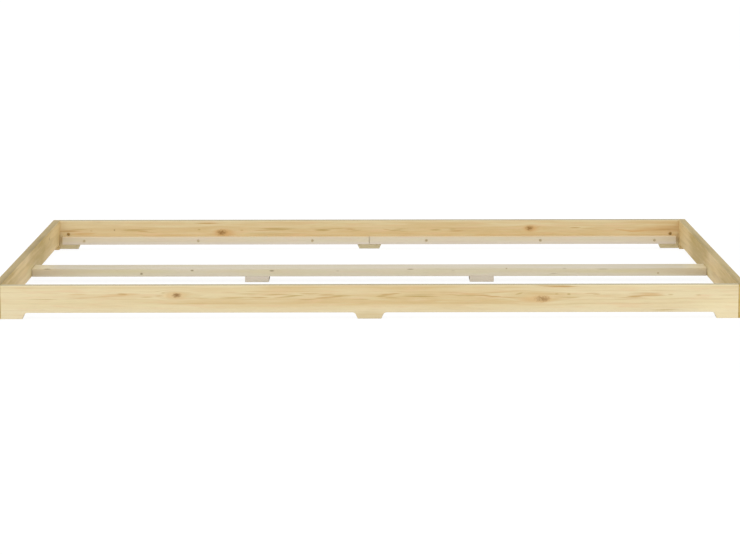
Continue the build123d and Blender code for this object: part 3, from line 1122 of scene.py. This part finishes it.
@dataclass(frozen=True)
class Fastener:
    """A turned fastener that points down, with the top of its head at zero.

    Its outline is a row of depths, each with its radius. A thread share of 0 leaves it smooth, a
    recess depth of 0 leaves its head whole, and a flute below 1 gives it flutes. Its line has the
    thread steps to each turn of the thread.
    """

    THREAD_STEPS = 8

    outline: Pairs
    sides: int
    stock: Stock
    flute: float = 1.0
    pitch: float = 1.0
    thread_share: float = 0.0
    crest: float = 1.0
    thread_from: float = 0.0
    thread_to: float = 0.0
    recess: Recess = Recess.HEXAGON
    recess_radius: float = 0.0
    recess_depth: float = 0.0
    recess_taper: float = 1.0

    def stations(self) -> list[tuple[float, float]]:
        """The outline with extra stations along its thread.

        Returns:
            Depths below the head's top, each with its radius.
        """
        made = []
        for (low, radius), (high, end_radius) in zip(self.outline, self.outline[1:]):
            threaded = self.thread_share > 0 and high > self.thread_from and low < self.thread_to
            steps = max(1, round((high - low) / self.pitch * self.THREAD_STEPS)) if threaded else 1
            for step in range(steps):
                share = step / steps
                made.append((low + share * (high - low), radius + share * (end_radius - radius)))
        made.append(self.outline[-1])
        return made

    def line(self, name: str) -> bpy.types.Object:
        """Makes the line of stations that the tree turns.

        Args:
            name: The object's name.

        Returns:
            An object whose mesh is the line, with a girth at each point.
        """
        stations = self.stations()
        mesh = bpy.data.meshes.new(name)
        points = [(0.0, 0.0, -metres(depth)) for depth, _ in stations]
        mesh.from_pydata(points, [(n, n + 1) for n in range(len(points) - 1)], [])
        girth = mesh.attributes.new("girth", "FLOAT", "POINT")
        girth.data.foreach_set("value", [metres(radius) for _, radius in stations])
        return linked(name, mesh)


def wood_screw(length: float, smooth: float) -> Fastener:
    """A countersunk screw with a cross recess and a pointed tip.

    Args:
        length: Its length, with its head.
        smooth: The depth at which its plain shank ends.

    Returns:
        The screw.
    """
    head, thread, shank, tip = 4.4, 2.25, 1.75, 0.12
    outline = ((0, head), (0.4, head), (2.55, thread), (3.2, shank), (smooth, shank),
               (smooth + 0.6, thread), (length - 4, thread), (length, tip))
    return Fastener(
        outline, sides=12, stock=Stock.SCREW, pitch=1.8, thread_share=0.34, crest=2.2,
        thread_from=smooth + 0.3, thread_to=length - 0.6, recess=Recess.CROSS, recess_radius=2.3,
        recess_depth=2.2, recess_taper=0.6)


class TurnedTree(NodeWriter):
    """Geometry Nodes that turn, thread and recess a fastener, and repeat it in a row.

    Edges over the sharp angle, in radians, stay sharp. The cutter of the recess starts above the
    head by the clearance.
    """

    SHARP_ANGLE = 0.6
    CLEARANCE = 0.5
    INPUTS = {
        "NodeSocketGeometry": ("Stations",),
        "NodeSocketInt": ("Sides", "Recess points", "Count"),
        "NodeSocketFloat": ("Flute", "Pitch", "Thread share", "Crest", "Thread from", "Thread to",
                            "Recess inner", "Recess radius", "Recess depth", "Recess taper"),
        "NodeSocketVector": ("First place", "Step"),
        "NodeSocketRotation": ("Turn",),
        "NodeSocketMaterial": ("Finish",),
    }

    def __init__(self) -> None:
        """Makes the tree."""
        tree = bpy.data.node_groups.new("turned_fasteners", "GeometryNodeTree")
        super().__init__(tree)
        for kind, names in self.INPUTS.items():
            for name in names:
                tree.interface.new_socket(name, in_out="INPUT", socket_type=kind)
        tree.interface.new_socket("Fasteners", in_out="OUTPUT", socket_type="NodeSocketGeometry")
        self.given = self.add("NodeGroupInput").outputs
        row = self.row(self.recessed(self.threaded(self.turned())))
        self.add("NodeGroupOutput", {0: row})

    def swept(self, curve: Socket, scale: Socket, points: Socket, inner: Socket) -> Socket:
        """Sweeps a star, or a regular polygon, along a curve, closed at both ends.

        Args:
            curve: The path.
            scale: The star's outer radius along it.
            points: Number of the star's points.
            inner: Radius between the points, as a share of the outer one.

        Returns:
            The swept mesh.
        """
        star = self.add("GeometryNodeCurveStar",
                        {"Points": points, "Inner Radius": inner, "Outer Radius": 1.0})
        inputs = {"Curve": curve, "Profile Curve": star.outputs[0], "Scale": scale,
                  "Fill Caps": True}
        return self.add("GeometryNodeCurveToMesh", inputs).outputs[0]

    def turned(self) -> Socket:
        """The fastener's body, without its thread.

        Returns:
            The turned body.
        """
        line = self.add("GeometryNodeMeshToCurve", {"Mesh": self.given["Stations"]}).outputs[0]
        girth = self.add("GeometryNodeInputNamedAttribute", {"Name": "girth"}).outputs[0]
        return self.swept(line, girth, self.given["Sides"], self.given["Flute"])

    def threaded(self, body: Socket) -> Socket:
        """Cuts the thread, by drawing the body in between its crests.

        Args:
            body: The turned body.

        Returns:
            The threaded body.
        """
        given = self.given
        place = self.add("GeometryNodeInputPosition").outputs[0]
        x, y, z = self.add("ShaderNodeSeparateXYZ", {0: place}).outputs
        depth = self.times(z, -1.0)
        around = self.sum("DIVIDE", self.sum("ARCTAN2", y, x), math.tau)
        turns = self.sum("ADD", self.sum("DIVIDE", depth, given["Pitch"]), around)
        part = self.times(self.sum("PINGPONG", turns, 0.5), 2.0)
        crest = self.sum("SUBTRACT", 1.0, self.times(part, given["Crest"]))
        valley = self.sum("SUBTRACT", 1.0, self.sum("MAXIMUM", crest, 0.0))
        inside = self.times(self.sum("GREATER_THAN", depth, given["Thread from"]),
                            self.sum("LESS_THAN", depth, given["Thread to"]))
        cut = self.times(self.times(valley, inside), given["Thread share"])
        drawn = self.sum("SUBTRACT", 1.0, cut)
        scale = self.add("ShaderNodeCombineXYZ", {0: drawn, 1: drawn, 2: 1.0}).outputs[0]
        moved = self.add("ShaderNodeVectorMath", {0: place, 1: scale}, operation="MULTIPLY")
        inputs = {"Geometry": body, "Position": moved.outputs[0]}
        return self.add("GeometryNodeSetPosition", inputs).outputs[0]

    def recessed(self, body: Socket) -> Socket:
        """Cuts the recess for the tool into the head.

        Args:
            body: The threaded body.

        Returns:
            The body with its recess.
        """
        given = self.given
        floor = self.times(given["Recess depth"], -1.0)
        ends = {"Start": (0.0, 0.0, metres(self.CLEARANCE)),
                "End": self.add("ShaderNodeCombineXYZ", {2: floor}).outputs[0]}
        line = self.add("GeometryNodeCurvePrimitiveLine", ends).outputs[0]
        index = self.add("GeometryNodeInputIndex").outputs[0]
        less = self.sum("SUBTRACT", given["Recess taper"], 1.0)
        radius = self.times(given["Recess radius"], self.sum("MULTIPLY_ADD", index, less, 1.0))
        cutter = self.swept(line, radius, given["Recess points"], given["Recess inner"])
        cut = self.add("GeometryNodeMeshBoolean", {"Mesh 1": body, "Mesh 2": cutter},
                       operation="DIFFERENCE", solver="EXACT")
        wanted = self.sum("GREATER_THAN", given["Recess depth"], 0.0)
        inputs = {"Switch": wanted, "False": body, "True": cut.outputs[0]}
        return self.add("GeometryNodeSwitch", inputs, input_type="GEOMETRY").outputs[0]

    def row(self, body: Socket) -> Socket:
        """Repeats the fastener in a row, pointing where it should.

        Args:
            body: One fastener.

        Returns:
            The finished row.
        """
        given = self.given
        angle = self.add("GeometryNodeInputMeshEdgeAngle").outputs[0]
        smooth = self.add("GeometryNodeSetShadeSmooth", {"Geometry": body, "Shade Smooth": True})
        sharp = self.add("GeometryNodeSetShadeSmooth", {
            "Geometry": smooth.outputs[0], "Shade Smooth": False,
            "Selection": self.sum("GREATER_THAN", angle, self.SHARP_ANGLE)}, domain="EDGE")
        places = self.add("GeometryNodeMeshLine", {
            "Count": given["Count"], "Start Location": given["First place"],
            "Offset": given["Step"]}, mode="OFFSET")
        copies = self.add("GeometryNodeInstanceOnPoints", {
            "Points": places.outputs[0], "Instance": sharp.outputs[0], "Rotation": given["Turn"]})
        real = self.add("GeometryNodeRealizeInstances", {"Geometry": copies.outputs[0]})
        inputs = {"Geometry": real.outputs[0], "Material": given["Finish"]}
        return self.add("GeometryNodeSetMaterial", inputs).outputs[0]

    def identifiers(self) -> dict[str, str]:
        """The modifier's own name for each input."""
        items = self.tree.interface.items_tree
        return {item.name: item.identifier for item in items if item.in_out == "INPUT"}


def stocks() -> dict[Stock, bpy.types.Material]:
    """Makes the material of each stock.

    Returns:
        The materials.
    """
    lie = Lie(middle=(0, 0, 0), half_length=1000)
    return {
        Stock.DOWEL: WoodWriter("beech_dowel_wood", BEECH, DOWEL_FIGURE, lie).write(),
        Stock.SCREW: SCREW_METAL.material("zinc_screw_metal"),
        Stock.BOLT: BOLT_METAL.material("zinc_bolt_metal"),
        Stock.NUT: NUT_METAL.material("zinc_nut_metal"),
    }


@dataclass
class FastenerSet:
    """Screws, bolts, barrel nuts and dowels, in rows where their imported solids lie."""

    ledge_screw: Fastener = wood_screw(length=40, smooth=15)
    foot_screw: Fastener = wood_screw(length=30, smooth=10)
    corner_bolt: Fastener = Fastener(
        outline=((0, 7), (0.5, 7.5), (2.38, 7.5), (2.4, 3), (22, 3), (61.6, 3), (62.4, 2.2)),
        sides=16, stock=Stock.BOLT, thread_share=0.17, thread_from=22, thread_to=61.8,
        recess_radius=2.31, recess_depth=3.6)
    dowel: Fastener = Fastener(
        outline=((0, 3), (1, 4), (39, 4), (40, 3)), sides=20, stock=Stock.DOWEL, flute=0.93)
    tree: TurnedTree = field(default_factory=TurnedTree)
    materials: dict[Stock, bpy.types.Material] = field(default_factory=stocks)

    def row(self, node: str, fastener: Fastener, aim: Aim, count: int = 1,
            row_axis: int = 0) -> None:
        """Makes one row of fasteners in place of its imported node.

        Args:
            node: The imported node.
            fastener: What is repeated.
            aim: Where it points.
            count: How many there are.
            row_axis: Number of the axis that the row runs along.
        """
        low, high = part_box(node)
        first = (low + high) / 2
        first[aim.axis] = low[aim.axis] if aim.value[aim.axis] > 0 else high[aim.axis]
        step = Vector((0.0, 0.0, 0.0))
        if count > 1:
            radius = metres(max(radius for _, radius in fastener.outline))
            first[row_axis] = low[row_axis] + radius
            run = high[row_axis] - low[row_axis] - 2 * radius
            step[row_axis] = run / (count - 1)
        recess_points, recess_inner = fastener.recess.value
        values = {
            "Sides": fastener.sides, "Flute": fastener.flute, "Pitch": metres(fastener.pitch),
            "Thread share": fastener.thread_share, "Crest": fastener.crest,
            "Thread from": metres(fastener.thread_from), "Thread to": metres(fastener.thread_to),
            "Recess points": recess_points, "Recess inner": recess_inner,
            "Recess radius": metres(fastener.recess_radius),
            "Recess depth": metres(fastener.recess_depth), "Recess taper": fastener.recess_taper,
            "First place": first, "Step": step, "Count": count, "Turn": aim.turn,
            "Finish": self.materials[fastener.stock],
        }
        line = fastener.line(f"{node}_line")
        modifier = line.modifiers.new("turned", "NODES")
        modifier.node_group = self.tree.tree
        names = self.tree.identifiers()
        for name, value in values.items():
            modifier[names[name]] = value
        piece = plain_mesh(line, f"{node}_dressed")
        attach(piece, BODY)
        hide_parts(node)
        log.info("made %s: %d triangles", piece.name, triangles(piece))

    def build(self) -> None:
        """Makes every row, the corners' first."""
        for side in Side:
            for end in End:
                corner = f"{side.name}_{end.name}".lower()
                outward, inward = Aim((0, side.value, 0)), Aim((-end.value, 0, 0))
                self.row(f"{corner}_ledge_screws", self.ledge_screw, outward, count=3)
                self.row(f"{corner}_bolt", self.corner_bolt, inward)
                self.row(f"{corner}_dowels", self.dowel, inward, count=2, row_axis=2)
                dress(f"{corner}_barrel_nut", self.materials[Stock.NUT])
        for end in End:
            name, inward = end.name.lower(), Aim((-end.value, 0, 0))
            self.row(f"{name}_rail_foot_screws", self.foot_screw, Aim.UP, count=2, row_axis=1)
            self.row(f"{name}_rail_dowels", self.dowel, inward, count=2, row_axis=1)


def plain_mesh(source: bpy.types.Object, name: str) -> bpy.types.Object:
    """Turns an object and its modifier into a plain mesh object.

    Args:
        source: The object with the live modifier, which is removed.
        name: The new object's name.

    Returns:
        The plain object.
    """
    evaluated = source.evaluated_get(bpy.context.evaluated_depsgraph_get())
    mesh = bpy.data.meshes.new_from_object(evaluated)
    mesh.name = name
    while None in mesh.materials[:]:
        mesh.materials.pop(index=mesh.materials[:].index(None))
    source.modifiers.clear()
    bpy.data.objects.remove(source)
    return linked(name, mesh)


def triangles(piece: bpy.types.Object) -> int:
    """The number of triangles in a piece."""
    piece.data.calc_loop_triangles()
    return len(piece.data.loop_triangles)


@dataclass
class Studio:
    """The floor, the light and the camera, with their places and sizes in metres."""

    floor_half_size: float = 30
    floor_drop: float = 0.0003
    floor_colour: Colour = (236, 236, 235)
    floor_shade: float = 0.13
    floor_glow: float = 0.92
    sky: float = 0.85
    lamp_place: Triple = (0, -16, 2.3)
    lamp_power: float = 580
    lamp_width: float = 9
    lamp_height: float = 3
    camera_place: Triple = (-0.0014, -7.912, 1.161)
    camera_pitch: float = 81.704
    camera_yaw: float = -0.023
    camera_roll: float = -0.088
    lens: float = 130.6
    sensor_width: float = 36
    farthest: float = 200

    def seen(self, writer: NodeWriter) -> Socket:
        """Tells a ray that sees from one that lights.

        Args:
            writer: The writer of the tree that asks.

        Returns:
            1 for a ray of the camera, a reflection or glass, and 0 for light.
        """
        path = writer.add("ShaderNodeLightPath").outputs
        seen = writer.sum("MAXIMUM", path["Is Camera Ray"], path["Is Glossy Ray"])
        return writer.sum("MAXIMUM", seen, path["Is Transmission Ray"])

    def world(self) -> None:
        """An even white sky, plain white where the camera, metal or glass sees it."""
        world = bpy.data.worlds.new("soft_white")
        world.use_nodes = True
        bpy.context.scene.world = world
        writer = NodeWriter(world.node_tree)
        skies = [
            writer.add("ShaderNodeBackground", {"Color": (1, 1, 1, 1), "Strength": strength})
            for strength in (self.sky, 1)]
        mixed = writer.add("ShaderNodeMixShader", {
            0: self.seen(writer), 1: skies[0].outputs[0], 2: skies[1].outputs[0]})
        writer.add("ShaderNodeOutputWorld", {"Surface": mixed.outputs[0]})

    def floor(self) -> None:
        """A plain pale floor that keeps a soft shadow."""
        half = self.floor_half_size
        corners = [(-half, -half), (half, -half), (half, half), (-half, half)]
        mesh = bpy.data.meshes.new("studio_floor")
        mesh.from_pydata([(x, y, -self.floor_drop) for x, y in corners], [], [(0, 1, 2, 3)])
        floor = linked("studio_floor", mesh)
        writer = MaterialWriter("studio_floor_white")
        plain = writer.add("ShaderNodeBsdfDiffuse", {"Color": linear(self.floor_colour)})
        shade = writer.add("ShaderNodeBsdfDiffuse", {"Color": (*(self.floor_shade,) * 3, 1)})
        glow = writer.add("ShaderNodeEmission", {"Strength": self.floor_glow})
        both = writer.add("ShaderNodeAddShader", {0: shade.outputs[0], 1: glow.outputs[0]})
        mesh.materials.append(writer.ended(writer.add("ShaderNodeMixShader", {
            0: self.seen(writer), 1: plain.outputs[0], 2: both.outputs[0]})))

    def lamp(self) -> None:
        """A wide soft lamp far behind the camera, which faces the bed's middle."""
        light = bpy.data.lights.new("front_lamp", "AREA")
        light.shape = "RECTANGLE"
        light.energy = self.lamp_power
        light.size = self.lamp_width
        light.size_y = self.lamp_height
        lamp = linked("front_lamp", light)
        lamp.location = self.lamp_place
        lamp.rotation_euler = Vector(self.lamp_place).to_track_quat("Z", "Y").to_euler()
        lamp.visible_camera = False
        lamp.visible_glossy = False

    def camera(self) -> None:
        """The camera, at the photograph's angle."""
        data = bpy.data.cameras.new("bed_camera")
        data.sensor_width = self.sensor_width
        data.lens = self.lens
        data.clip_end = self.farthest
        matrix = Matrix.Translation(self.camera_place)
        turns = ((self.camera_yaw, "Z"), (self.camera_pitch, "X"), (self.camera_roll, "Z"))
        for angle, axis in turns:
            matrix = matrix @ Matrix.Rotation(math.radians(angle), 4, axis)
        camera = linked("bed_camera", data)
        camera.matrix_world = matrix
        bpy.context.scene.camera = camera

    def build(self) -> None:
        """Sets the stage."""
        bpy.context.scene.view_settings.view_transform = "Standard"
        self.camera()
        self.world()
        self.lamp()
        self.floor()
        log.info("set the stage")


def main() -> None:
    """Builds the scene, class by class."""
    logging.basicConfig(level=logging.INFO, format="%(name)s: %(message)s")
    Studio().build()
    BoardSet().dress()
    BearerSet().dress()
    FastenerSet().build()


if __name__ == "__main__":
    main()
